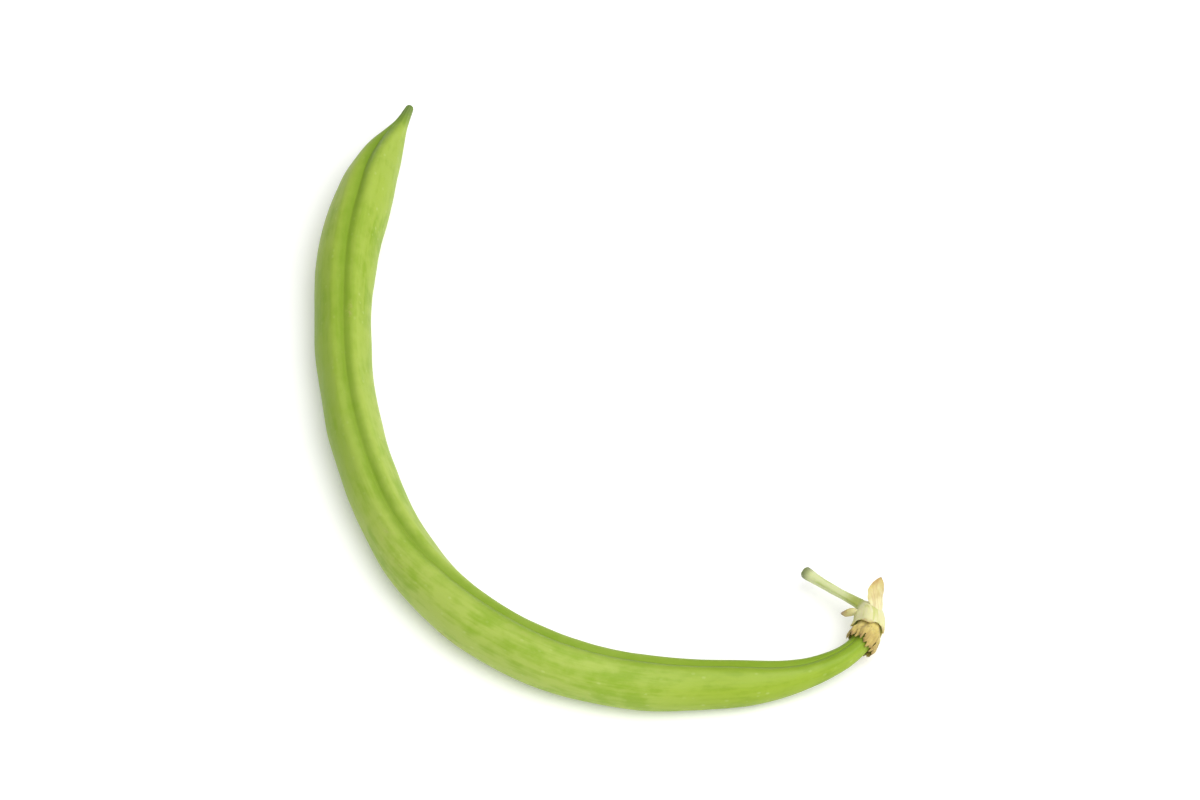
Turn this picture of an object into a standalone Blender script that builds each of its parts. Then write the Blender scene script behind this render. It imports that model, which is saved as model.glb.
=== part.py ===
"""One fresh green bean, picked with its stalk, lying on its side on a flat surface.

The bean is a long hooked pod. Its stem end narrows to a neck, which stands in the calyx, the small cup that
held the flower. A ring of withered petals still clings to the neck, two scale leaves sit at the calyx's foot
and a thin broken-off stalk hooks back from it. Sizes are in millimetres and degrees, and MM turns them into
metres. The world origin is the middle of the bean's box on the surface, with +Z up.
"""

import math

import bmesh
import bpy
from mathutils import Matrix, Vector

MM = 0.001

# ---- Pod: every pair is (distance along the pod from its stem end, value there) ----
POD_LENGTH = 140.0
HEADINGS = (
    (0, 275), (3, 241), (6, 219), (9, 207), (16, 189), (24, 183.5), (36, 166), (47, 148), (59, 129),
    (72, 112), (87, 101.2), (101, 92), (111, 86), (120, 77.5), (126, 74.5), (131, 69), (140, 65.5),
)
HALF_WIDTHS = (
    (0, 1.15), (5, 1.25), (10, 1.6), (15, 2.15), (19, 2.6), (25, 2.95), (34, 3.25), (47, 3.4), (59, 3.4),
    (74, 3.3), (96, 3.25), (109, 3.5), (118, 3.65), (125, 3.35), (129.5, 2.75), (132.5, 2.1), (135, 1.42),
    (137.4, 0.8), (140, 0.42),
)
CLEARANCES = ((0, 2.7), (8, 1.6), (20, 0), (62, 0), (88, 0.3), (107, 0), (119, 0), (129, 0.5), (140, 3.0))
SUTURE_LEANS = (
    (0, 28), (12, 21), (24, 22), (36, 22), (50, 26), (58, 21), (66, 6), (74, -1), (84, -2), (96, 0),
    (104, 2), (112, 0), (122, -6), (128, -14), (133, -25), (140, -38),
)
HEIGHT_TO_WIDTH = 1.04
SETTLE = 0.1  # how far the soft underside flattens where it rests
STEM_ROUNDING = 0.9
BEAK_ROUNDING = 0.4
MIDLINE_STEPS = 560

GROOVE_DEPTH = 0.34
GROOVE_HALF_WIDTH = 0.6
LIP_HEIGHT = 0.13
LIP_OFFSET = 1.35
LIP_HALF_WIDTH = 0.75
SEAM_FADE = 9.0  # the suture sinks to full depth over this distance from each end

SEED_PITCH = 11.4
FIRST_SEED = 22.0
LAST_SEED = 124.0
SEED_SWELL = 0.13
SEED_HALF_LENGTH = 3.4

POD_SIDES = 36
POD_RINGS = 72
END_CROWDING = 0.6  # 0 spaces the rings evenly, and nearer 1 crowds them towards both ends
SEAM_CROWDING = 0.25  # the same round the section, towards the two sutures

# ---- Stem end: heights are measured along the stem from the pod's end, and below 0 back over the pod ----
STEM_LENGTH = 11.4
STEM_TURNS = ((0, 0), (0.8, 14), (2, 36), (3.4, 47), (7.5, 47), (11.4, 44))
STEM_CLIMBS = ((0, 4), (1.5, -5), (4, -9), (7, -6), (11.4, -3))
STEM_STEPS = 62
STEM_REACH = 0.25  # the stem's direction is measured between points this far to either side

CALYX_OUTSIDE = ((2.2, 0.0), (2.16, 0.5), (1.9, 0.85), (1.4, 1.3), (0.6, 1.72), (-0.4, 1.87), (-1.3, 1.93))
CALYX_INSIDE = ((-1.3, 1.63), (-0.3, 1.55), (0.15, 1.42), (0.36, 1.1), (0.38, 0.0))
CALYX_TEETH = 5
TOOTH_LENGTH = 0.5
RIM_HALF_HEIGHT = 0.35
CALYX_SIDES = 40

PETAL_RING = ((-4.0, 1.64), (-3.85, 1.82), (-3.2, 2.0), (-2.5, 1.88), (-2.3, 1.64), (-3.2, 1.6))
PETAL_FOLDS = 7
PETAL_FOLD_DEPTH = 0.13
PETAL_SIDES = 42

SCALE_LEAVES = (
    # name, angle round the stem from the top, height of its foot, lean away from the stem, length, half width
    ("scale_leaf_long", 47, 0.1, 26, 2.9, 1.1),
    ("scale_leaf_short", -72, 0.5, 58, 1.5, 0.55),
)
SCALE_THICKNESS = 0.28
SCALE_STEPS = 8
SCALE_FOOT_GAP = 0.3
SCALE_FOOT_WIDTH = 0.3  # the foot's width as a share of the blade's
SCALE_TIP_WIDTH = 0.25  # the same at the tip
SCALE_CUPPING = 0.25

STALK_RADII = ((2.5, 0.62), (4.5, 0.57), (8, 0.6), (10.4, 0.72), (11.4, 0.68))
STALK_SIDES = 20
STALK_RINGS = 24

# ---- Colours: linear base colour, roughness ----
POD_GREEN = ((0.34, 0.47, 0.06), 0.48)
CALYX_YELLOW = ((0.60, 0.60, 0.22), 0.6)
DRY_BROWN = ((0.50, 0.38, 0.12), 0.8)
SCALE_STRAW = ((0.65, 0.57, 0.27), 0.75)
STALK_PALE = ((0.50, 0.56, 0.22), 0.6)


def smooth(pairs, at):
    """The value at a distance, on a smooth curve through the pairs that never overshoots them."""
    if at <= pairs[0][0]:
        return pairs[0][1]
    if at >= pairs[-1][0]:
        return pairs[-1][1]
    rises = [(b[1] - a[1]) / (b[0] - a[0]) for a, b in zip(pairs, pairs[1:])]
    slopes = [rises[0]]
    for before, after in zip(rises, rises[1:]):
        slopes.append(2 * before * after / (before + after) if before * after > 0 else 0.0)
    slopes.append(rises[-1])
    i = max(k for k in range(len(rises)) if pairs[k][0] <= at)
    span = pairs[i + 1][0] - pairs[i][0]
    t = (at - pairs[i][0]) / span
    return (
        pairs[i][1] * (1 + 2 * t) * (1 - t) ** 2
        + pairs[i + 1][1] * t * t * (3 - 2 * t)
        + span * t * (1 - t) * (slopes[i] * (1 - t) - slopes[i + 1] * t)
    )


def hump(offset, half_width):
    """1 at offset 0, falling smoothly to nothing past about twice the half width."""
    return math.exp(-((offset / half_width) ** 2))


def trace(headings, climbs, length, steps):
    """Points of a line that starts at the origin and follows its heading and climb, one for each step."""
    points = [Vector((0, 0, 0))]
    step = length / steps
    for i in range(steps):
        middle = (i + 0.5) * step
        turn = math.radians(smooth(headings, middle))
        climb = math.radians(smooth(climbs, middle))
        ahead = Vector((math.cos(turn) * math.cos(climb), math.sin(turn) * math.cos(climb), math.sin(climb)))
        points.append(points[-1] + ahead * step)
    return points


MIDLINE = trace(HEADINGS, ((0, 0), (POD_LENGTH, 0)), POD_LENGTH, MIDLINE_STEPS)


def half_width(s):
    """Half the pod's width, rounded off at its two ends."""
    rounding = 1.0
    for from_end, radius in ((s, STEM_ROUNDING), (POD_LENGTH - s, BEAK_ROUNDING)):
        if from_end < radius:
            rounding = math.sqrt(max(0.0, 1 - (1 - from_end / radius) ** 2))
    return smooth(HALF_WIDTHS, s) * rounding


def pod_centre(s):
    """The middle of the pod's section: the midline at the height that puts the underside where it rests."""
    exact = s / POD_LENGTH * MIDLINE_STEPS
    i = min(int(exact), MIDLINE_STEPS - 1)
    flat = MIDLINE[i].lerp(MIDLINE[i + 1], exact - i)
    flat.z = smooth(HALF_WIDTHS, s) * HEIGHT_TO_WIDTH + smooth(CLEARANCES, s) - SETTLE
    return flat


def seed_swelling(s):
    """How much of a seed lies at this distance, from 0 between seeds to 1 over one."""
    seeds = range(int((LAST_SEED - FIRST_SEED) / SEED_PITCH) + 1)
    return max(hump(s - FIRST_SEED - k * SEED_PITCH, SEED_HALF_LENGTH) for k in seeds)


def pod_point(s, around):
    """A point of the pod's skin. around is the angle from the upper suture, to the inside of the hook."""
    heading = math.radians(smooth(HEADINGS, s))
    lean = math.radians(smooth(SUTURE_LEANS, s)) + around
    inwards = Vector((math.sin(heading), -math.cos(heading), 0))
    width = half_width(s)
    off_seam = abs(around) * width
    fade = min(1.0, s / SEAM_FADE, (POD_LENGTH - s) / SEAM_FADE)
    relief = LIP_HEIGHT * hump(off_seam - LIP_OFFSET, LIP_HALF_WIDTH)
    relief -= GROOVE_DEPTH * hump(off_seam, GROOVE_HALF_WIDTH)
    relief += SEED_SWELL * seed_swelling(s) * math.sin(around) ** 2
    reach = width + relief * fade
    point = pod_centre(s)
    point += inwards * (reach * math.sin(lean))
    point.z += reach * math.cos(lean) * HEIGHT_TO_WIDTH
    point.z = max(point.z, 0.0)
    return point


def loft(sides, rings, place, joined=False):
    """A closed skin: a circle of vertices extruded from ring to ring. place(ring, angle) gives each point.

    The first and last rings are gathered to a point each or, where joined, bridged to each other.
    """
    bm = bmesh.new()
    angle = bm.verts.layers.float.new("angle")
    ring = bmesh.ops.create_circle(bm, segments=sides, radius=1.0)["verts"]
    for vert in ring:
        vert[angle] = math.atan2(vert.co.y, vert.co.x)
        vert.co = place(0, vert[angle])
    loops = [bm.edges[:]]
    rings_of_verts = [ring]
    for k in range(1, rings):
        made = bmesh.ops.extrude_edge_only(bm, edges=loops[-1])["geom"]
        ring = [item for item in made if isinstance(item, bmesh.types.BMVert)]
        fresh = set(ring)
        loops.append([e for e in made if isinstance(e, bmesh.types.BMEdge) and set(e.verts) <= fresh])
        rings_of_verts.append(ring)
        for vert in ring:
            vert.co = place(k, vert[angle])
    if joined:
        bmesh.ops.bridge_loops(bm, edges=loops[0] + loops[-1])
    else:
        for ring in (rings_of_verts[0], rings_of_verts[-1]):
            middle = sum((v.co for v in ring), Vector()) / sides
            bmesh.ops.pointmerge(bm, verts=ring, merge_co=middle)
    bmesh.ops.recalc_face_normals(bm, faces=bm.faces[:])
    return bm


def crowded(u):
    """An even angle moved towards the nearer suture, at 0 and at 180 degrees."""
    return u - SEAM_CROWDING * math.sin(2 * u)


def ring_distance(k):
    """The distance along the pod of ring k, with the rings closer together near both ends."""
    t = k / (POD_RINGS - 1)
    return POD_LENGTH * (t - END_CROWDING / (2 * math.pi) * math.sin(2 * math.pi * t))


STEM_START = (pod_centre(0) - pod_centre(0.5)).normalized()
STEM_HEADING = math.degrees(math.atan2(STEM_START.y, STEM_START.x))
STEM_LINE = trace(
    tuple((h, STEM_HEADING + turn) for h, turn in STEM_TURNS), STEM_CLIMBS, STEM_LENGTH, STEM_STEPS
)


def stem_centre(height):
    """A point of the stem's line, which carries the pod's midline on through the calyx and the stalk."""
    if height < 0:
        return pod_centre(-height)
    exact = min(height / STEM_LENGTH, 1.0) * STEM_STEPS
    i = min(int(exact), STEM_STEPS - 1)
    return pod_centre(0) + STEM_LINE[i].lerp(STEM_LINE[i + 1], exact - i)


def on_stem(height, radius, angle):
    """A point at this height, radius and angle round the stem, counted from the top to the outer side."""
    ahead = (stem_centre(height + STEM_REACH) - stem_centre(height - STEM_REACH)).normalized()
    up = (Vector((0, 0, 1)) - ahead * ahead.z).normalized()
    return stem_centre(height) + (up * math.cos(angle) + ahead.cross(up) * math.sin(angle)) * radius


def pod():
    return loft(POD_SIDES, POD_RINGS, lambda k, u: pod_point(ring_distance(k), crowded(u)))


def calyx():
    """The cup: up its outside, over the toothed rim and down the inside to the floor."""
    profile = CALYX_OUTSIDE + CALYX_INSIDE

    def place(k, angle):
        height, radius = profile[k]
        tooth = max(0.0, math.cos(CALYX_TEETH * angle)) * TOOTH_LENGTH
        at_rim = hump(height - CALYX_INSIDE[0][0], RIM_HALF_HEIGHT)
        return on_stem(height - tooth * at_rim, radius, angle)

    return loft(CALYX_SIDES, len(profile), place)


def withered_petals():
    """A crumpled ring round the neck, clear of it all round."""

    def place(k, angle):
        height, radius = PETAL_RING[k]
        crumple = PETAL_FOLD_DEPTH * math.sin(PETAL_FOLDS * angle) if radius > PETAL_RING[0][1] else 0.0
        return on_stem(height + crumple, radius + crumple, angle)

    return loft(PETAL_SIDES, len(PETAL_RING), place, joined=True)


def scale_leaf(angle, foot, lean, length, half):
    """A small pointed scale: a strip that swells and narrows again, curling outwards, given its thickness."""
    bm = bmesh.new()
    bmesh.ops.create_grid(bm, x_segments=2, y_segments=SCALE_STEPS, size=1.0)
    start = smooth(sorted(CALYX_OUTSIDE), foot) + SCALE_FOOT_GAP + SCALE_THICKNESS / 2
    for vert in bm.verts:
        t = (vert.co.y + 1) / 2
        swelling = SCALE_FOOT_WIDTH + (1 - SCALE_FOOT_WIDTH) * math.sin(math.pi * t ** 0.8)
        across = vert.co.x * half * swelling * (1 - (1 - SCALE_TIP_WIDTH) * t ** 3)
        tilt = math.radians(lean * (0.5 + t))
        out = start + length * t * math.sin(tilt)
        up = foot + length * t * math.cos(tilt)
        cupped = SCALE_CUPPING * (across / half) ** 2
        vert.co = on_stem(up, out + cupped, math.radians(angle) + across / start)
    bmesh.ops.recalc_face_normals(bm, faces=bm.faces[:])
    bmesh.ops.solidify(bm, geom=bm.faces[:], thickness=SCALE_THICKNESS)
    bmesh.ops.recalc_face_normals(bm, faces=bm.faces[:])
    return bm


def stalk():
    """A thin round stalk that leaves the calyx, hooks back and ends swollen where it broke."""
    first, last = STALK_RADII[0][0], STALK_RADII[-1][0]

    def place(k, angle):
        height = first + (last - first) * k / (STALK_RINGS - 1)
        return on_stem(height, smooth(STALK_RADII, height), angle)

    return loft(STALK_SIDES, STALK_RINGS, place)


def material(name, look):
    colour, roughness = look
    made = bpy.data.materials.new(name)
    made.use_nodes = True
    shader = made.node_tree.nodes["Principled BSDF"]
    shader.inputs["Base Color"].default_value = (*colour, 1)
    shader.inputs["Roughness"].default_value = roughness
    shader.inputs["Metallic"].default_value = 0.0
    return made


def piece(name, bm, look, parent):
    """A named object from a bmesh in millimetres, smooth shaded and parented."""
    bm.transform(Matrix.Scale(MM, 4))
    mesh = bpy.data.meshes.new(name)
    bm.to_mesh(mesh)
    bm.free()
    mesh.shade_smooth()
    mesh.materials.append(material(name, look))
    obj = bpy.data.objects.new(name, mesh)
    bpy.context.scene.collection.objects.link(obj)
    obj.parent = parent
    return obj


def main():
    for obj in list(bpy.data.objects):
        bpy.data.objects.remove(obj)
    bean = bpy.data.objects.new("bean", None)
    bpy.context.scene.collection.objects.link(bean)
    made = [
        piece("pod", pod(), POD_GREEN, bean),
        piece("calyx", calyx(), CALYX_YELLOW, bean),
        piece("withered_petals", withered_petals(), DRY_BROWN, bean),
        piece("stalk", stalk(), STALK_PALE, bean),
    ]
    for name, *shape in SCALE_LEAVES:
        made.append(piece(name, scale_leaf(*shape), SCALE_STRAW, bean))
    corners = [v.co for obj in made for v in obj.data.vertices]
    for axis in (0, 1):
        low = min(co[axis] for co in corners)
        high = max(co[axis] for co in corners)
        bean.location[axis] = -(low + high) / 2


main()
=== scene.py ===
"""The finish of one fresh green bean, picked with its stalk and lying on its side on a pale table top.

Each section below makes one piece of the bean, from the pod outwards to the broken end of its stalk.
Lengths are in millimetres and are counted from the pod's stem end, along the pod or along the stem.
"""

import math

import bmesh
import bpy
from mathutils import Matrix, Vector, noise


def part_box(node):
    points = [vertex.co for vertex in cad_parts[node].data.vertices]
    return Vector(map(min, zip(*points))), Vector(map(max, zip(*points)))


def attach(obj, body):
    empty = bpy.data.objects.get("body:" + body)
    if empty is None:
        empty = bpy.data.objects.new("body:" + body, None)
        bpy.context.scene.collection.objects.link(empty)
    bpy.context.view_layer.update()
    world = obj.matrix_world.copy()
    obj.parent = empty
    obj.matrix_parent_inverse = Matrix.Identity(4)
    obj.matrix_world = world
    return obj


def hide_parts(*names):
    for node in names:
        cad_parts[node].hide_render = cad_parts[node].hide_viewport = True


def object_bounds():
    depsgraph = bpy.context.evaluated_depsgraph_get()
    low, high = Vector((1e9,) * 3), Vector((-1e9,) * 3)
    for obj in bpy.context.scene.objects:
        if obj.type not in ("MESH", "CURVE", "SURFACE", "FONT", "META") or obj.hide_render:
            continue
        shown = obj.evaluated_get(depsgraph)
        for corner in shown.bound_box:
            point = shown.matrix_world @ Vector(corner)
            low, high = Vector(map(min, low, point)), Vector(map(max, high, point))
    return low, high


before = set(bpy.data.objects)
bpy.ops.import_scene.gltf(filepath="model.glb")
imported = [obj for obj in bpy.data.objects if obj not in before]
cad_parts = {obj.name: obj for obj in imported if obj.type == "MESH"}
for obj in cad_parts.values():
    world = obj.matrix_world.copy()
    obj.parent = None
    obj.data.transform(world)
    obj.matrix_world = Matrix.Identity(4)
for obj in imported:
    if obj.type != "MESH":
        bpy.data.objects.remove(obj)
cad_low, cad_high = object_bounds()

# --------------------------------------------------------------------------------------------------
# The pod grew as one long hooked fruit, from its neck at the stem end to its beak. Its two halves meet in
# a grooved suture on the upper side and in a thin seam on the back. The skin is satin green with fine
# lengthways fibres, and the seeds inside swell it only a little.

MM = 0.001
TOUCHING = 0.0005
POD_LENGTH = 140.0
HEADINGS = (
    (0, 275), (3, 241), (6, 219), (9, 207), (16, 189), (24, 183.5), (36, 166), (47, 148), (59, 129),
    (72, 112), (87, 101.2), (101, 92), (111, 86), (120, 77.5), (126, 74.5), (131, 69), (140, 65.5),
)
HALF_WIDTHS = (
    (0, 1.15), (5, 1.25), (10, 1.6), (15, 2.15), (19, 2.6), (25, 2.95), (34, 3.25), (47, 3.4), (59, 3.4),
    (74, 3.3), (96, 3.25), (109, 3.5), (118, 3.65), (125, 3.35), (129.5, 2.75), (132.5, 2.1), (135, 1.42),
    (137.4, 0.8), (140, 0.42),
)
CLEARANCES = ((0, 2.7), (8, 1.6), (20, 0), (62, 0), (88, 0.3), (107, 0), (119, 0), (129, 0.5), (140, 3.0))
SUTURE_LEANS = (
    (0, 28), (12, 21), (24, 22), (36, 22), (50, 26), (58, 21), (66, 6), (74, -1), (84, -2), (96, 0),
    (104, 2), (112, 0), (122, -6), (128, -14), (133, -25), (140, -38),
)
HEIGHT_TO_WIDTH = 1.04
SETTLE = 0.1
SOFTNESS = 0.03
STEM_ROUNDING = 0.9
BEAK_ROUNDING = 0.4
MIDLINE_STEPS = 560

VALLEY_DEPTH = 0.34
VALLEY_VARIETY = 0.25
VALLEY_HALF_WIDTH = 0.62
CREASE_DEPTH = 0.07
CREASE_HALF_WIDTH = 0.13
LIP_HEIGHT = 0.13
LIP_OFFSET = 1.35
LIP_HALF_WIDTH = 0.7
SEAM_FADE = 9.0
BACK_RIDGE = 0.06
BACK_RIDGE_HALF_WIDTH = 0.45
BACK_CREASE = 0.07
BACK_CREASE_HALF_WIDTH = 0.12
SEEDS = 10
FIRST_SEED = 20.0
SEED_PITCH = 11.4
SEED_SWELL = 0.12
SEED_HALF_LENGTH = 3.6
SEED_SCATTER = 0.3
SEED_VARIETY = 0.6
UNEVENNESS = 0.08
UNEVEN_LENGTH = 8.0
FLUTES = 11
FLUTE_DEPTH = 0.03
FLUTE_REACH = 14.0

POD_SIDES = 100
POD_CUTS = 800
END_CROWDING = 0.55
SEAM_CROWDING = 0.2


def smooth(pairs, at):
    """The value at a distance, on a smooth curve through the pairs that never overshoots them."""
    if at <= pairs[0][0]:
        return pairs[0][1]
    if at >= pairs[-1][0]:
        return pairs[-1][1]
    rises = [(b[1] - a[1]) / (b[0] - a[0]) for a, b in zip(pairs, pairs[1:])]
    slopes = [rises[0]]
    for before, after in zip(rises, rises[1:]):
        slopes.append(2 * before * after / (before + after) if before * after > 0 else 0.0)
    slopes.append(rises[-1])
    i = max(k for k in range(len(rises)) if pairs[k][0] <= at)
    span = pairs[i + 1][0] - pairs[i][0]
    t = (at - pairs[i][0]) / span
    return (
        pairs[i][1] * (1 + 2 * t) * (1 - t) ** 2
        + pairs[i + 1][1] * t * t * (3 - 2 * t)
        + span * t * (1 - t) * (slopes[i] * (1 - t) - slopes[i + 1] * t)
    )


def hump(offset, half_width):
    """1 at offset 0, falling smoothly to nothing past about twice the half width."""
    return math.exp(-((offset / half_width) ** 2))


def rough(x, y=0.0, z=0.0):
    """Smooth seeded unevenness between about -1 and 1."""
    return noise.noise(Vector((x, y, z)))


def trace(headings, climbs, length, steps):
    """Points of a line that starts at the origin and follows its heading and climb, one for each step."""
    points = [Vector((0, 0, 0))]
    step = length / steps
    for i in range(steps):
        middle = (i + 0.5) * step
        turn = math.radians(smooth(headings, middle))
        climb = math.radians(smooth(climbs, middle))
        ahead = Vector((math.cos(turn) * math.cos(climb), math.sin(turn) * math.cos(climb), math.sin(climb)))
        points.append(points[-1] + ahead * step)
    return points


def on_trace(points, share):
    """The point at a share of a traced line's length."""
    exact = min(share, 1.0) * (len(points) - 1)
    i = min(int(exact), len(points) - 2)
    return points[i].lerp(points[i + 1], exact - i)


MIDLINE = trace(HEADINGS, ((0, 0), (POD_LENGTH, 0)), POD_LENGTH, MIDLINE_STEPS)


def pod_centre(s):
    """The middle of the pod's section, at the height that puts the underside where it rests."""
    centre = on_trace(MIDLINE, s / POD_LENGTH)
    centre.z = smooth(HALF_WIDTHS, s) * HEIGHT_TO_WIDTH + smooth(CLEARANCES, s) - SETTLE
    return centre


def end_rounding(s):
    """How far the section has opened, from 0 at either end's tip to 1 past its rounding."""
    opened = 1.0
    for from_end, radius in ((s, STEM_ROUNDING), (POD_LENGTH - s, BEAK_ROUNDING)):
        if from_end < radius:
            opened = math.sqrt(max(0.0, 1 - (1 - from_end / radius) ** 2))
    return opened


def seed_swelling(s):
    """How far a seed pushes the wall out at this distance. No two seeds are spaced or filled alike."""
    most = 0.0
    for k in range(SEEDS):
        place = FIRST_SEED + SEED_PITCH * (k + SEED_SCATTER * rough(k * 1.7, 3.1))
        most = max(most, (1 + SEED_VARIETY * rough(k * 2.3, 8.5)) * hump(s - place, SEED_HALF_LENGTH))
    return SEED_SWELL * most


def settled(z):
    """A height pressed softly against the table top: the same well above it, and never below it."""
    if z > 10 * SOFTNESS:
        return z
    return SOFTNESS * math.log1p(math.exp(z / SOFTNESS))


def tube(sides, cuts):
    """A straight open tube, one unit long and wide, cut into rings along its length."""
    bm = bmesh.new()
    bmesh.ops.create_cone(bm, cap_ends=False, segments=sides, radius1=1, radius2=1, depth=1)
    lengthways = [e for e in bm.edges if abs(e.verts[0].co.z - e.verts[1].co.z) > 0.5]
    bmesh.ops.subdivide_edges(bm, edges=lengthways, cuts=cuts)
    return bm


def rings_of(bm):
    """The tube's rings in order, each as (share of the length, [(vertex, angle), ...])."""
    rings = {}
    for vert in bm.verts:
        share = round(vert.co.z + 0.5, 6)
        rings.setdefault(share, []).append((vert, math.atan2(vert.co.y, vert.co.x)))
    return sorted(rings.items(), key=lambda item: item[0])


def pod_relief(s, around, width, depth, seeds):
    """How far the skin stands out from the plain section: sutures, lips, seeds and uneven growth."""
    side = abs(around) * width
    back = (math.pi - abs(around)) * width
    relief = LIP_HEIGHT * hump(side - LIP_OFFSET, LIP_HALF_WIDTH)
    relief -= depth * hump(side, VALLEY_HALF_WIDTH)
    relief -= CREASE_DEPTH * hump(side, CREASE_HALF_WIDTH)
    relief += BACK_RIDGE * hump(back, BACK_RIDGE_HALF_WIDTH)
    relief -= BACK_CREASE * hump(back, BACK_CREASE_HALF_WIDTH)
    relief += seeds * math.sin(around) ** 2
    place = (s / UNEVEN_LENGTH, 0.9 * math.cos(around), 0.9 * math.sin(around))
    relief += UNEVENNESS * rough(*place)
    relief += 0.3 * UNEVENNESS * rough(*(3.7 * part for part in place))
    return relief


pod = tube(POD_SIDES, POD_CUTS)
pod_straight = pod.verts.layers.float_vector.new("straight")
from_suture = pod.verts.layers.float.new("from_suture")
from_back = pod.verts.layers.float.new("from_back")
for share, ring in rings_of(pod):
    s = POD_LENGTH * (share - END_CROWDING / (2 * math.pi) * math.sin(2 * math.pi * share))
    heading = math.radians(smooth(HEADINGS, s))
    inwards = Vector((math.sin(heading), -math.cos(heading), 0))
    lean = math.radians(smooth(SUTURE_LEANS, s))
    centre = pod_centre(s)
    width = smooth(HALF_WIDTHS, s)
    opened = end_rounding(s)
    fade = min(1.0, s / SEAM_FADE, (POD_LENGTH - s) / SEAM_FADE)
    fluting = FLUTE_DEPTH * max(0.0, 1 - min(s, POD_LENGTH - s) / FLUTE_REACH)
    depth = VALLEY_DEPTH * (1 + VALLEY_VARIETY * rough(s * 0.11, 7.0))
    seeds = seed_swelling(s)
    for vert, angle in ring:
        around = angle - SEAM_CROWDING * math.sin(2 * angle)
        flutes = fluting * math.sin(FLUTES * around + 2 * rough(s * 0.2))
        reach = opened * (width + fade * pod_relief(s, around, width, depth, seeds) + flutes)
        vert.co = centre + inwards * (reach * math.sin(around + lean))
        vert.co.z = settled(vert.co.z + reach * math.cos(around + lean) * HEIGHT_TO_WIDTH)
        vert[pod_straight] = Vector((s, reach * math.cos(around), reach * math.sin(around)))
        vert[from_suture] = abs(around) * width
        vert[from_back] = (math.pi - abs(around)) * width
bmesh.ops.remove_doubles(pod, verts=pod.verts[:], dist=TOUCHING)
bmesh.ops.recalc_face_normals(pod, faces=pod.faces[:])

# Everything is drawn from the pod's midline, and BED moves it to where the frame's pod lies.
pod_low, pod_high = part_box("pod")
BED = Vector((0, 0, 0))
for axis in (0, 1):
    drawn = [v.co[axis] for v in pod.verts]
    BED[axis] = (pod_low[axis] + pod_high[axis]) / 2 - MM * (min(drawn) + max(drawn)) / 2


def finished(name, bm, material, node):
    """The piece as an object in the frame's metres, smooth shaded, in place of its plain solid."""
    bm.transform(Matrix.Translation(BED) @ Matrix.Scale(MM, 4))
    mesh = bpy.data.meshes.new(name)
    bm.to_mesh(mesh)
    bm.free()
    mesh.shade_smooth()
    mesh.materials.append(material)
    piece = bpy.data.objects.new(name, mesh)
    bpy.context.scene.collection.objects.link(piece)
    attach(piece, "root")
    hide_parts(node)
    return piece


def feed(tree, node, inputs):
    """Give a node its inputs, each of them a plain value or the output that feeds it."""
    for name, value in inputs.items():
        if isinstance(value, bpy.types.NodeSocket):
            tree.links.new(value, node.inputs[name])
        else:
            node.inputs[name].default_value = value
    return node


def add(tree, kind, inputs, **settings):
    """A new node in a shader tree."""
    node = tree.nodes.new(kind)
    for name, value in settings.items():
        setattr(node, name, value)
    return feed(tree, node, inputs)


# A mix node's sockets for colours share their names with its other kinds, so they go by number.
MIX_SHARE, MIX_FIRST, MIX_SECOND, MIX_RESULT = 0, 6, 7, 2


def stained(tree, colour, stain, share):
    """A colour with a share of another over it."""
    mix = add(tree, "ShaderNodeMix", {MIX_SHARE: share}, data_type="RGBA")
    return feed(tree, mix, {MIX_FIRST: colour, MIX_SECOND: stain}).outputs[MIX_RESULT]


def eased(tree, value, start, end, low=0.0, high=1.0):
    """low up to start, high past end, and a smooth change between them. start may be more than end."""
    inputs = {"Value": value, "From Min": start, "From Max": end, "To Min": low, "To Max": high}
    return add(tree, "ShaderNodeMapRange", inputs, interpolation_type="SMOOTHSTEP").outputs[0]


def sums(tree, operation, first, second):
    """Arithmetic on two values."""
    return add(tree, "ShaderNodeMath", {0: first, 1: second}, operation=operation).outputs[0]


def cloudy(tree, place, scale, detail=2.0):
    """Soft noise about 0.5, with scale in features per millimetre."""
    inputs = {"Vector": place, "Scale": scale, "Detail": detail, "Roughness": 0.5}
    return add(tree, "ShaderNodeTexNoise", inputs).outputs["Fac"]


def wandering(tree, place, scale, swing):
    """Soft noise about 0 that wanders by half of swing either way."""
    centred = sums(tree, "SUBTRACT", cloudy(tree, place, scale), 0.5)
    return sums(tree, "MULTIPLY", centred, swing)


def drawn_out(tree, place, along):
    """Coordinates in which a pattern is longer along the grain, by one over this factor."""
    return add(tree, "ShaderNodeVectorMath", {0: place, 1: (along, 1, 1)}, operation="MULTIPLY").outputs[0]


def read(tree, name, output="Fac"):
    """One of the piece's own attributes."""
    return add(tree, "ShaderNodeAttribute", {}, attribute_name=name).outputs[output]


def effect(name, inputs, outputs):
    """A new shader node group with its own ends, as (tree, group input's outputs, group output's inputs)."""
    kinds = {"colour": "NodeSocketColor", "place": "NodeSocketVector", "value": "NodeSocketFloat"}
    tree = bpy.data.node_groups.new(name, "ShaderNodeTree")
    for label, kind in inputs:
        tree.interface.new_socket(name=label, in_out="INPUT", socket_type=kinds[kind])
    for label, kind in outputs:
        tree.interface.new_socket(name=label, in_out="OUTPUT", socket_type=kinds[kind])
    return tree, tree.nodes.new("NodeGroupInput").outputs, tree.nodes.new("NodeGroupOutput").inputs


def placed(tree, group, inputs):
    """An effect placed in a material with its own values."""
    return add(tree, "ShaderNodeGroup", inputs, node_tree=group).outputs


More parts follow.
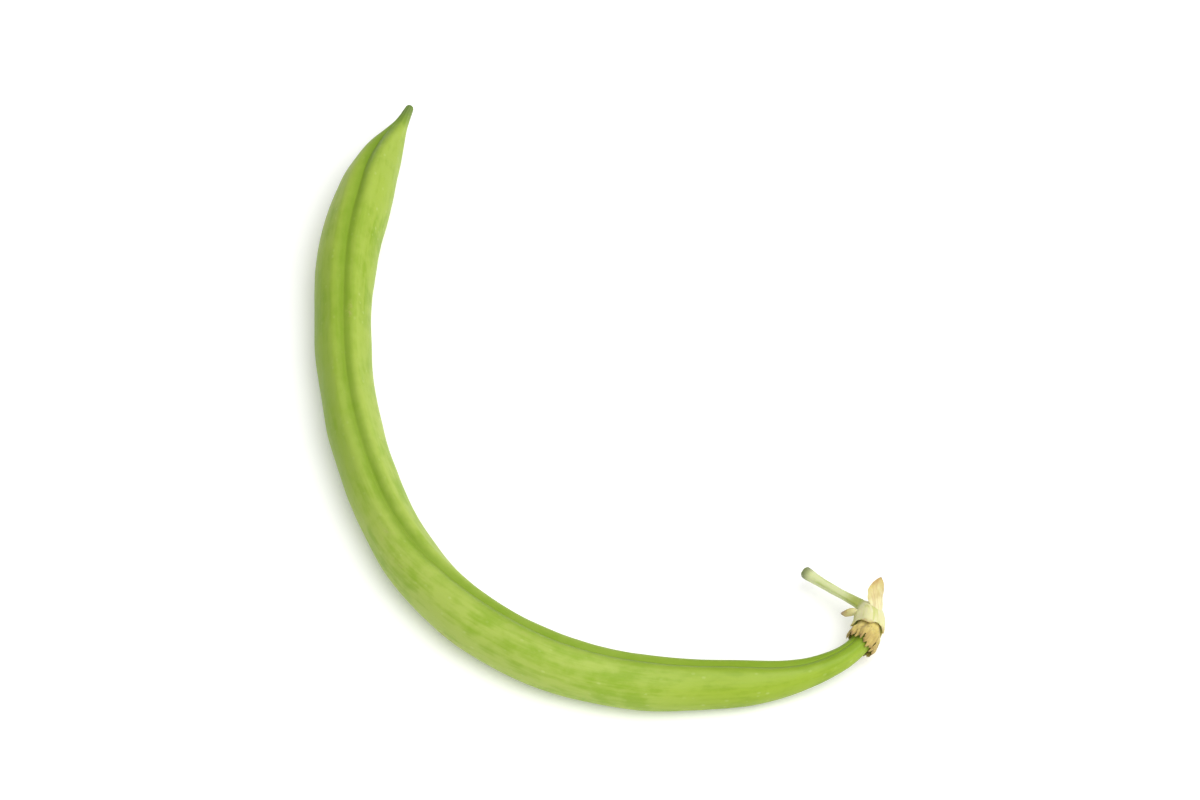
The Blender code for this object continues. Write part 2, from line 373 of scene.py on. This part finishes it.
def living_tissue():
    """Fresh green skin: broad soft patches, a finer mottle, lengthways fibres and small pale pores."""
    tree, given, out = effect(
        "living_tissue",
        (
            ("Place", "place"), ("Light", "colour"), ("Deep", "colour"), ("Pore", "colour"),
            ("Patches", "value"), ("Mottle", "value"), ("Fibres", "value"), ("Pores", "value"),
        ),
        (("Colour", "colour"), ("Height", "value")),
    )
    place = given["Place"]
    patches = eased(tree, cloudy(tree, place, 0.16, 4.0), 0.25, 0.78)
    mottle = cloudy(tree, drawn_out(tree, place, 0.55), 0.8, 4.0)
    fibres = cloudy(tree, drawn_out(tree, place, 0.06), 2.2, 3.0)
    share = sums(tree, "MULTIPLY", patches, given["Patches"])
    for pattern, strength in ((mottle, "Mottle"), (fibres, "Fibres")):
        swing = eased(tree, pattern, 0.26, 0.74, -0.8, 0.8)
        share = sums(tree, "ADD", share, sums(tree, "MULTIPLY", swing, given[strength]))
    body = stained(tree, given["Light"], given["Deep"], eased(tree, share, 0.0, 1.0))
    cells = add(tree, "ShaderNodeTexVoronoi", {"Vector": drawn_out(tree, place, 0.6), "Scale": 1.3}).outputs
    chosen = eased(tree, add(tree, "ShaderNodeSeparateColor", {0: cells["Color"]}).outputs["Red"], 0.35, 0.9)
    pores = sums(tree, "MULTIPLY", eased(tree, cells["Distance"], 0.26, 0.1), chosen)
    stain = sums(tree, "MULTIPLY", pores, given["Pores"])
    tree.links.new(stained(tree, body, given["Pore"], stain), out["Colour"])
    grain = cloudy(tree, drawn_out(tree, place, 0.6), 5.0)
    raised = sums(tree, "ADD", sums(tree, "MULTIPLY", fibres, 0.5), mottle)
    raised = sums(tree, "ADD", sums(tree, "MULTIPLY", grain, 0.35), raised)
    tree.links.new(sums(tree, "ADD", raised, sums(tree, "MULTIPLY", pores, 0.2)), out["Height"])
    return tree


FLESH_GLOW = (0.7, 1.0, 0.25)  # how far red, green and blue light travel in it, as shares of its depth
NAP_ROUGHNESS = 0.45


def new_material(name, roughness, gloss, flesh, flesh_depth, sheen):
    """A material, its tree and its shader. What is the same all over is set on the shader itself."""
    material = bpy.data.materials.new(name)
    material.use_nodes = True
    shader = material.node_tree.nodes["Principled BSDF"]
    shader.inputs["Roughness"].default_value = roughness
    shader.inputs["Specular IOR Level"].default_value = gloss
    shader.inputs["Subsurface Weight"].default_value = flesh
    shader.inputs["Subsurface Radius"].default_value = FLESH_GLOW
    shader.inputs["Subsurface Scale"].default_value = flesh_depth * MM
    shader.inputs["Sheen Weight"].default_value = sheen
    shader.inputs["Sheen Roughness"].default_value = NAP_ROUGHNESS
    return material, material.node_tree, shader


def bumped(tree, shader, height, depth):
    """Fine relief on the shader's normal, with its depth in millimetres."""
    inputs = {"Strength": 1.0, "Distance": depth * MM, "Height": height}
    tree.links.new(add(tree, "ShaderNodeBump", inputs).outputs["Normal"], shader.inputs["Normal"])


TISSUE = living_tissue()

POD_LIGHT = (0.39, 0.5, 0.088, 1)
POD_DEEP = (0.27, 0.41, 0.033, 1)
END_LIGHT = (0.28, 0.395, 0.022, 1)
END_DEEP = (0.21, 0.32, 0.008, 1)
POD_PORE = (0.52, 0.61, 0.2, 1)
# Painted shade for the suture's groove and the back seam's crease.
VALLEY_SHADE_GREEN = (0.17, 0.29, 0.008, 1)
# Painted highlight for the suture's raised lips.
LIP_HIGHLIGHT_GREEN = (0.42, 0.54, 0.1, 1)
# Painted shade for the outer flank of the long arm.
FLANK_SHADE_GREEN = (0.2, 0.33, 0.008, 1)
BEAK_TIP = (0.14, 0.2, 0.06, 1)
SCUFF = (0.42, 0.4, 0.12, 1)

pod_skin, tree, shader = new_material(
    "pod_skin", roughness=0.48, gloss=0.26, flesh=0.16, flesh_depth=1.1, sheen=0.0
)
place = read(tree, "straight", "Vector")
apart = add(tree, "ShaderNodeSeparateXYZ", {0: place}).outputs
along, inner = apart["X"], apart["Z"]
near_stem = eased(tree, along, 38.0, 20.0, 0.0, 0.9)
near_beak = eased(tree, along, 80.0, 108.0, 0.0, 0.5)
near_end = sums(tree, "ADD", near_stem, near_beak)
tissue = placed(tree, TISSUE, {
    "Place": place,
    "Light": stained(tree, POD_LIGHT, END_LIGHT, near_end),
    "Deep": stained(tree, POD_DEEP, END_DEEP, near_end),
    "Pore": POD_PORE,
    "Patches": 0.7, "Mottle": 0.4, "Fibres": 0.3, "Pores": 0.3,
})
side = sums(tree, "ADD", read(tree, "from_suture"), wandering(tree, place, 0.5, 0.8))
# Painted shade: a deeper green over the outer flank of the long arm, about 66 to 120 mm along, stands in for
# shade on that side.
outer_flank_shade = sums(tree, "MULTIPLY", eased(tree, along, 66.0, 84.0), eased(tree, along, 120.0, 104.0))
outer_flank_shade = sums(tree, "MULTIPLY", outer_flank_shade, eased(tree, inner, -0.3, -2.2, 0.0, 0.6))
colour = stained(tree, tissue["Colour"], FLANK_SHADE_GREEN, outer_flank_shade)
# Painted highlight: a paler green along the suture's raised lips, about 1.6 to 2.6 mm from its middle.
colour = stained(tree, colour, LIP_HIGHLIGHT_GREEN, eased(tree, side, 2.6, 1.6, 0.0, 0.15))
# Painted shade: a darker green in the suture's groove, spreading to about 2.5 mm onto the inner edge near the
# neck, and a lighter touch of it in the back seam's crease.
valley_shade_edge = eased(tree, along, 46.0, 68.0, 2.5, 1.6)
valley_shade = eased(tree, side, valley_shade_edge, 0.15)
valley_shade = sums(tree, "MULTIPLY", valley_shade, eased(tree, along, 118.0, 134.0, 0.7, 0.95))
colour = stained(tree, colour, VALLEY_SHADE_GREEN, valley_shade)
colour = stained(tree, colour, VALLEY_SHADE_GREEN, eased(tree, read(tree, "from_back"), 0.4, 0.08, 0.0, 0.4))
scuffed = eased(tree, cloudy(tree, drawn_out(tree, place, 0.4), 0.3), 0.66, 0.74)
worn = sums(tree, "MULTIPLY", scuffed, eased(tree, cloudy(tree, place, 2.5), 0.4, 0.7, 0.0, 0.5))
colour = stained(tree, colour, SCUFF, worn)
colour = stained(tree, colour, BEAK_TIP, eased(tree, along, 135.5, 139.7, 0.0, 0.8))
tree.links.new(colour, shader.inputs["Base Color"])
bumped(tree, shader, tissue["Height"], 0.05)
finished("pod_fruit", pod, pod_skin, "pod")

# --------------------------------------------------------------------------------------------------
# The withered petals are what is left of the flower: a thin crumpled collar that comes out of the calyx
# and hangs over the neck, torn along its free edge and dried to straw and brown. They are the first piece
# on the stem's line, which carries the pod's midline on through the calyx and the hooked stalk.

STEM_LENGTH = 11.4
STEM_TURNS = ((0, 0), (0.8, 14), (2, 36), (3.4, 47), (7.5, 47), (11.4, 44))
STEM_CLIMBS = ((0, 4), (1.5, -5), (4, -9), (7, -6), (11.4, -3))
STEM_STEPS = 62
STEM_REACH = 0.25
PETAL_COLLAR = (
    (-0.6, 1.38), (-1.3, 1.46), (-1.8, 1.56), (-2.4, 1.84), (-3.1, 1.97), (-3.6, 1.88), (-4.0, 1.7),
)
PETAL_FOLDS = 7
PETAL_FOLD_DEPTH = 0.14
PETAL_CRUMPLE = 0.16
PETAL_FINE_CRUMPLE = 0.08
PETAL_CURL = 0.55
PETAL_RAGGEDNESS = 0.4
PETAL_TEARS = 9
TEAR_HALF_WIDTH = 0.07
PETAL_THICKNESS = 0.07
SORTING_LINE = Vector((1.0, 17.3, 291.7))
PETAL_SIDES = 180
PETAL_CUTS = 44

start = (pod_centre(0) - pod_centre(0.5)).normalized()
start_heading = math.degrees(math.atan2(start.y, start.x))
STEM_LINE = trace(
    tuple((h, start_heading + turn) for h, turn in STEM_TURNS), STEM_CLIMBS, STEM_LENGTH, STEM_STEPS
)


def stem_centre(height):
    """A point of the stem's line. Below 0 it runs back along the pod."""
    if height < 0:
        return pod_centre(-height)
    return pod_centre(0) + on_trace(STEM_LINE, height / STEM_LENGTH)


def on_stem(height, radius, angle):
    """A point on the stem. Its angle counts from the top towards the outer side."""
    ahead = (stem_centre(height + STEM_REACH) - stem_centre(height - STEM_REACH)).normalized()
    up = (Vector((0, 0, 1)) - ahead * ahead.z).normalized()
    return stem_centre(height) + (up * math.cos(angle) + ahead.cross(up) * math.sin(angle)) * radius


def along_profile(profile, share):
    """The (height, radius) at a share of the way through a profile's points, on a smooth curve."""
    at = share * (len(profile) - 1)
    heights = tuple((k, point[0]) for k, point in enumerate(profile))
    radii = tuple((k, point[1]) for k, point in enumerate(profile))
    return smooth(heights, at), smooth(radii, at)


def straight_at(height, radius, angle):
    """The same point as if the stem were straight, for patterns that follow it."""
    return Vector((height, radius * math.cos(angle), radius * math.sin(angle)))


petals = tube(PETAL_SIDES, PETAL_CUTS)
petal_straight = petals.verts.layers.float_vector.new("straight")
petal_age = petals.verts.layers.float.new("age")
torn = []
for share, ring in rings_of(petals):
    for vert, angle in ring:
        height, radius = along_profile(PETAL_COLLAR, share)
        turn = (math.cos(angle), math.sin(angle))
        ragged = 1.6 * rough(2.3 * turn[0], 2.3 * turn[1], 4.0)
        ragged += 0.9 * rough(7 * turn[0], 7 * turn[1], 1.0)
        height -= PETAL_RAGGEDNESS * share ** 2 * ragged
        loose = min(1.0, share * 1.4)
        fold = math.sin(PETAL_FOLDS * angle + 2.2 * rough(turn[0], turn[1], 2 * share))
        crumple = PETAL_CRUMPLE * rough(4 * turn[0], 4 * turn[1], 3.2 * share)
        crumple += PETAL_FINE_CRUMPLE * rough(9 * turn[0], 9 * turn[1], 6 * share)
        curl = PETAL_CURL * max(0.0, rough(1.9 * turn[0], 1.9 * turn[1], 9.0)) * share ** 4
        radius += loose * (PETAL_FOLD_DEPTH * fold + crumple) + curl
        vert.co = on_stem(height, radius, angle)
        vert[petal_straight] = straight_at(height, radius, angle)
        vert[petal_age] = share
        tear = (PETAL_TEARS * (angle / (2 * math.pi) + 0.05 * rough(4 * turn[0], 4 * turn[1]))) % 1.0
        depth = 0.62 + 0.3 * rough(math.floor(PETAL_TEARS * angle / (2 * math.pi)) * 1.3, 2.0)
        if share > depth and abs(tear - 0.5) < TEAR_HALF_WIDTH * (share - depth) / (1 - depth) + 0.01:
            torn.append(vert)
bmesh.ops.delete(petals, geom=torn, context="VERTS")
bmesh.ops.recalc_face_normals(petals, faces=petals.faces[:])
bmesh.ops.solidify(petals, geom=petals.faces[:], thickness=PETAL_THICKNESS)

# The torn edge's new faces come in no fixed order, so they are sorted by place to repeat from run to run.
petals.verts.sort(key=lambda vert: vert.co.dot(SORTING_LINE))
petals.edges.sort(key=lambda edge: (edge.verts[0].co + edge.verts[1].co).dot(SORTING_LINE))
petals.faces.sort(key=lambda face: face.calc_center_median().dot(SORTING_LINE))


def dried_tissue():
    """Withered tissue: straw with browner streaks along its veins, and browner still towards its old edge."""
    tree, given, out = effect(
        "dried_tissue",
        (("Place", "place"), ("Age", "value"), ("Straw", "colour"), ("Brown", "colour"), ("Dark", "colour")),
        (("Colour", "colour"), ("Height", "value")),
    )
    place = given["Place"]
    veins = cloudy(tree, drawn_out(tree, place, 0.12), 4.5, 3.0)
    blots = cloudy(tree, place, 1.1, 3.0)
    aged = sums(tree, "ADD", given["Age"], sums(tree, "MULTIPLY", sums(tree, "SUBTRACT", blots, 0.5), 0.9))
    colour = stained(tree, given["Straw"], given["Brown"], eased(tree, aged, 0.25, 0.85))
    colour = stained(tree, colour, given["Dark"], eased(tree, aged, 0.8, 1.15, 0.0, 0.85))
    colour = stained(tree, colour, given["Dark"], eased(tree, veins, 0.5, 0.7, 0.0, 0.4))
    tree.links.new(colour, out["Colour"])
    tree.links.new(sums(tree, "ADD", veins, sums(tree, "MULTIPLY", blots, 0.5)), out["Height"])
    return tree


DRIED = dried_tissue()

petal_paper, tree, shader = new_material(
    "petal_paper", roughness=0.7, gloss=0.3, flesh=0.1, flesh_depth=0.4, sheen=0.15
)
dried = placed(tree, DRIED, {
    "Place": read(tree, "straight", "Vector"), "Age": read(tree, "age"),
    "Straw": (0.66, 0.55, 0.17, 1), "Brown": (0.45, 0.33, 0.1, 1), "Dark": (0.22, 0.13, 0.05, 1),
})
tree.links.new(dried["Colour"], shader.inputs["Base Color"])
bumped(tree, shader, dried["Height"], 0.04)
finished("petal_collar", petals, petal_paper, "withered_petals")

# --------------------------------------------------------------------------------------------------
# The calyx is the small pale cup that held the flower. It grew as one piece with five blunt teeth round
# its rim and a rib running down from each, and its nose narrows into the stalk.

CALYX_OUTSIDE = (
    (2.6, 0.0), (2.55, 0.5), (2.2, 0.74), (1.75, 0.96), (1.3, 1.28), (0.7, 1.64), (0.0, 1.84), (-0.7, 1.9),
)
CALYX_PROFILE = CALYX_OUTSIDE + (
    (-1.15, 1.96), (-1.38, 1.99), (-1.4, 1.9), (-1.15, 1.78), (-0.5, 1.62), (0.1, 1.46), (0.35, 1.1),
    (0.38, 0.0),
)
CALYX_RIM = -1.4
CALYX_TEETH = 5
TOOTH_LENGTH = 0.6
RIM_HALF_HEIGHT = 0.75
RIM_FLARE = 0.22
RIB_HEIGHT = 0.06
CALYX_LUMPS = 0.07
CALYX_SIDES = 150
CALYX_CUTS = 110
NOSE_GREEN = (0.4, 0.46, 0.075, 1)
TOOTH_BROWN = (0.42, 0.29, 0.1, 1)

calyx = tube(CALYX_SIDES, CALYX_CUTS)
calyx_straight = calyx.verts.layers.float_vector.new("straight")
for share, ring in rings_of(calyx):
    height, radius = along_profile(CALYX_PROFILE, share)
    at_rim = hump(height - CALYX_RIM, RIM_HALF_HEIGHT)
    outside = max(0.0, min(1.0, (0.6 - share) * 8))
    for vert, angle in ring:
        turn = (math.cos(angle), math.sin(angle))
        tooth = (0.5 + 0.5 * math.cos(CALYX_TEETH * angle + 0.6 * rough(turn[0], turn[1], 5.0))) ** 1.6
        tall = TOOTH_LENGTH * (0.8 + 0.8 * rough(1.7 * turn[0], 1.7 * turn[1], 3.0))
        rib = RIB_HEIGHT * outside * (tooth - 0.4) * min(1.0, radius / 1.2)
        lumps = CALYX_LUMPS * rough(1.6 * turn[0], 1.6 * turn[1], 0.8 * height) * min(1.0, radius)
        flare = RIM_FLARE * at_rim * (tooth - 0.3) * (1 + rough(turn[0], turn[1], 8.0))
        place = (height - tall * tooth * at_rim, radius + rib + lumps + flare, angle)
        vert.co = on_stem(*place)
        vert[calyx_straight] = straight_at(*place)
bmesh.ops.remove_doubles(calyx, verts=calyx.verts[:], dist=TOUCHING)
bmesh.ops.recalc_face_normals(calyx, faces=calyx.faces[:])

calyx_skin, tree, shader = new_material(
    "calyx_skin", roughness=0.55, gloss=0.35, flesh=0.2, flesh_depth=0.9, sheen=0.1
)
place = read(tree, "straight", "Vector")
height = add(tree, "ShaderNodeSeparateXYZ", {0: place}).outputs["X"]
tissue = placed(tree, TISSUE, {
    "Place": place,
    "Light": (0.68, 0.66, 0.35, 1), "Deep": (0.54, 0.56, 0.19, 1), "Pore": (0.76, 0.72, 0.5, 1),
    "Patches": 0.7, "Mottle": 0.4, "Fibres": 0.8, "Pores": 0.4,
})
edge = sums(tree, "ADD", height, wandering(tree, place, 0.9, 1.4))
colour = stained(tree, tissue["Colour"], NOSE_GREEN, eased(tree, height, 1.3, 2.3, 0.0, 0.8))
colour = stained(tree, colour, TOOTH_BROWN, eased(tree, edge, -1.2, -2.0, 0.0, 0.85))
tree.links.new(colour, shader.inputs["Base Color"])
bumped(tree, shader, tissue["Height"], 0.05)
finished("calyx_cup", calyx, calyx_skin, "calyx")

# --------------------------------------------------------------------------------------------------
# Two scale leaves grew at the foot of the calyx. Each is a small pointed blade, bent round the cup, with
# a midrib and fine veins, still pale where it joins and dried brown at its tip.

SCALE_LEAVES = (
    # name, angle round the stem from the top, height of its foot, lean, length, half width, colour of its tip
    ("scale_leaf_long", 47, 0.1, 36, 3.2, 1.4, (0.42, 0.25, 0.09, 1)),
    ("scale_leaf_short", -72, 0.5, 62, 2.0, 0.6, (0.27, 0.14, 0.09, 1)),
)
SCALE_HALF_THICKNESS = 0.07
SCALE_CUPPING = 0.22
SCALE_SUNK = 0.15
SCALE_TWIST = 0.14
SCALE_RIPPLE = 0.03
MIDRIB_HALF_WIDTH = 0.14
SCALE_SIDES = 72
SCALE_CUTS = 60

for name, seat, foot, lean, length, half, tip in SCALE_LEAVES:
    blade = tube(SCALE_SIDES, SCALE_CUTS)
    blade_straight = blade.verts.layers.float_vector.new("straight")
    blade_age = blade.verts.layers.float.new("age")
    start = smooth(tuple(sorted(CALYX_OUTSIDE)), foot)
    for t, ring in rings_of(blade):
        tilt = math.radians(lean * (0.35 + 1.1 * t))
        outline = (0.76 + 0.24 * math.sin(math.pi * t)) * (1 - t ** 3)
        for vert, angle in ring:
            x = math.cos(angle)
            across = x * half * outline * (1 + 0.12 * rough(5 * t, 3 * x, seat))
            midrib = 1 + 0.9 * hump(x, MIDRIB_HALF_WIDTH) * (1 - t)
            lift = SCALE_HALF_THICKNESS * math.sin(angle) * midrib * (1 - t ** 4)
            lift -= SCALE_CUPPING * (across / half) ** 2 * (1 - 0.5 * t)
            twist = SCALE_TWIST * t * rough(3 * t, 1.6 * x, seat + 2)
            ripple = SCALE_RIPPLE * rough(9 * t, 6 * x, seat)
            lift += twist + ripple
            out = start - SCALE_SUNK + length * t * math.sin(tilt) + lift * math.cos(tilt)
            up = foot + length * t * math.cos(tilt) - lift * math.sin(tilt)
            vert.co = on_stem(up, out, math.radians(seat) + across / start)
            vert[blade_straight] = Vector((length * t, across, foot + lift))
            vert[blade_age] = t + 0.15 * abs(x)
    bmesh.ops.remove_doubles(blade, verts=blade.verts[:], dist=TOUCHING)
    bmesh.ops.holes_fill(blade, edges=[e for e in blade.edges if e.is_boundary], sides=0)
    bmesh.ops.recalc_face_normals(blade, faces=blade.faces[:])

    skin, tree, shader = new_material(
        name + "_skin", roughness=0.6, gloss=0.35, flesh=0.15, flesh_depth=0.4, sheen=0.1
    )
    dried = placed(tree, DRIED, {
        "Place": read(tree, "straight", "Vector"), "Age": read(tree, "age"),
        "Straw": (0.74, 0.69, 0.38, 1), "Brown": (0.56, 0.46, 0.18, 1), "Dark": tip,
    })
    tree.links.new(dried["Colour"], shader.inputs["Base Color"])
    bumped(tree, shader, dried["Height"], 0.03)
    finished(name + "_blade", blade, skin, name)

# --------------------------------------------------------------------------------------------------
# The stalk held the bean on its plant. It is one thin ribbed stem that leaves the calyx's nose, hooks
# back and swells at its end, where it snapped off and left a dished, darkened scar.

STALK_PROFILE = (
    (1.9, 0.5), (2.5, 0.68), (3.2, 0.62), (4.4, 0.56), (5.8, 0.55), (7.4, 0.57), (8.8, 0.6), (9.9, 0.66),
    (10.7, 0.72), (11.2, 0.71), (11.38, 0.64), (11.36, 0.54), (11.25, 0.38), (11.17, 0.2), (11.16, 0.0),
)
STALK_RIBS = 6
STALK_RIB_SHARE = 0.028
STALK_LUMP_SHARE = 0.05
SCAR_STARTS = 0.78
SCAR_SPLINTERS = 0.05
STALK_SIDES = 96
STALK_CUTS = 200
STALK_FOOT_GREEN = (0.36, 0.42, 0.07, 1)
SCAR_DARK = (0.16, 0.19, 0.075, 1)

stalk = tube(STALK_SIDES, STALK_CUTS)
stalk_straight = stalk.verts.layers.float_vector.new("straight")
for share, ring in rings_of(stalk):
    height, radius = along_profile(STALK_PROFILE, share)
    scar = max(0.0, min(1.0, (share - SCAR_STARTS) * 12))
    for vert, angle in ring:
        turn = (math.cos(angle), math.sin(angle))
        ribs = STALK_RIB_SHARE * math.cos(STALK_RIBS * angle + 1.2 * rough(height * 0.3)) * (1 - scar)
        lumps = STALK_LUMP_SHARE * rough(1.2 * turn[0], 1.2 * turn[1], 0.9 * height) * min(1.0, radius / 0.3)
        splinters = SCAR_SPLINTERS * scar * rough(5 * turn[0] * radius, 5 * turn[1] * radius, 6.0)
        place = (height + splinters, max(0.0, radius * (1 + ribs + lumps)), angle)
        vert.co = on_stem(*place)
        vert[stalk_straight] = straight_at(*place)
bmesh.ops.holes_fill(stalk, edges=[e for e in stalk.edges if e.is_boundary], sides=0)
bmesh.ops.remove_doubles(stalk, verts=stalk.verts[:], dist=TOUCHING)
bmesh.ops.recalc_face_normals(stalk, faces=stalk.faces[:])

stalk_skin, tree, shader = new_material(
    "stalk_skin", roughness=0.5, gloss=0.35, flesh=0.18, flesh_depth=0.6, sheen=0.1
)
place = read(tree, "straight", "Vector")
height = add(tree, "ShaderNodeSeparateXYZ", {0: place}).outputs["X"]
tissue = placed(tree, TISSUE, {
    "Place": place,
    "Light": (0.63, 0.67, 0.35, 1), "Deep": (0.45, 0.53, 0.16, 1), "Pore": (0.7, 0.72, 0.45, 1),
    "Patches": 0.6, "Mottle": 0.4, "Fibres": 0.9, "Pores": 0.3,
})
colour = stained(tree, tissue["Colour"], STALK_FOOT_GREEN, eased(tree, height, 5.4, 3.0, 0.0, 0.85))
colour = stained(tree, colour, SCAR_DARK, eased(tree, height, 9.9, 11.2, 0.0, 0.9))
tree.links.new(colour, shader.inputs["Base Color"])
bumped(tree, shader, tissue["Height"], 0.04)
finished("stalk_stem", stalk, stalk_skin, "stalk")

# --------------------------------------------------------------------------------------------------
# A plain white table top under a wide soft lamp from the right, in a bright room. The table glows
# faintly, so that it stays white right up to the bean. Lengths from here on are in metres.

TABLE_HALF_SIDE = 1.6
TABLE_WHITE = (0.86, 0.86, 0.85, 1)
LAMP_SIZE = 2.0
LAMP_PLACE = (0.65, -0.55, 1.5)
LAMP_POWER = 35.0
ROOM_LIGHT = 0.45
TABLE_GLOW = 0.22

top = bmesh.new()
bmesh.ops.create_grid(top, x_segments=1, y_segments=1, size=TABLE_HALF_SIDE)
table_mesh = bpy.data.meshes.new("table_top")
top.to_mesh(table_mesh)
top.free()
table_finish = bpy.data.materials.new("table_finish")
table_finish.use_nodes = True
shader = table_finish.node_tree.nodes["Principled BSDF"]
shader.inputs["Base Color"].default_value = TABLE_WHITE
shader.inputs["Roughness"].default_value = 0.7
shader.inputs["Specular IOR Level"].default_value = 0.2
shader.inputs["Emission Color"].default_value = (1.0, 1.0, 1.0, 1)
shader.inputs["Emission Strength"].default_value = TABLE_GLOW
table_mesh.materials.append(table_finish)
table_top = bpy.data.objects.new("table_top", table_mesh)
bpy.context.scene.collection.objects.link(table_top)

lamp = bpy.data.lights.new("soft_lamp", "AREA")
lamp.shape = "DISK"
lamp.size = LAMP_SIZE
lamp.energy = LAMP_POWER
lamp_object = bpy.data.objects.new("soft_lamp", lamp)
lamp_object.location = LAMP_PLACE
lamp_object.visible_camera = False
lamp_object.rotation_euler = (-Vector(LAMP_PLACE)).to_track_quat("-Z", "Y").to_euler()
bpy.context.scene.collection.objects.link(lamp_object)

room = bpy.data.worlds.new("bright_room")
room.use_nodes = True
room.node_tree.nodes["Background"].inputs["Color"].default_value = (1.0, 1.0, 0.99, 1)
room.node_tree.nodes["Background"].inputs["Strength"].default_value = ROOM_LIGHT
bpy.context.scene.world = room
bpy.context.scene.view_settings.view_transform = "Standard"

# --------------------------------------------------------------------------------------------------
# The camera looks down on the bean from its open side, far off and with a long lens. Its sensor and lens
# are in millimetres, and the rest of it in metres and degrees.

CAMERA_ELEVATION = 50.0
CAMERA_DISTANCE = 3.2
SENSOR_WIDTH = 36.0
VIEW_WIDTH = 0.144

tilt = math.radians(CAMERA_ELEVATION)
target = Vector((0, 0, (cad_low[2] + cad_high[2]) / 2))
camera = bpy.data.cameras.new("camera")
camera.sensor_width = SENSOR_WIDTH
camera.lens = SENSOR_WIDTH * CAMERA_DISTANCE / VIEW_WIDTH
camera_object = bpy.data.objects.new("camera", camera)
camera_object.location = target + CAMERA_DISTANCE * Vector((0, -math.cos(tilt), math.sin(tilt)))
camera_object.rotation_euler = (math.pi / 2 - tilt, 0, 0)
bpy.context.scene.collection.objects.link(camera_object)
bpy.context.scene.camera = camera_object
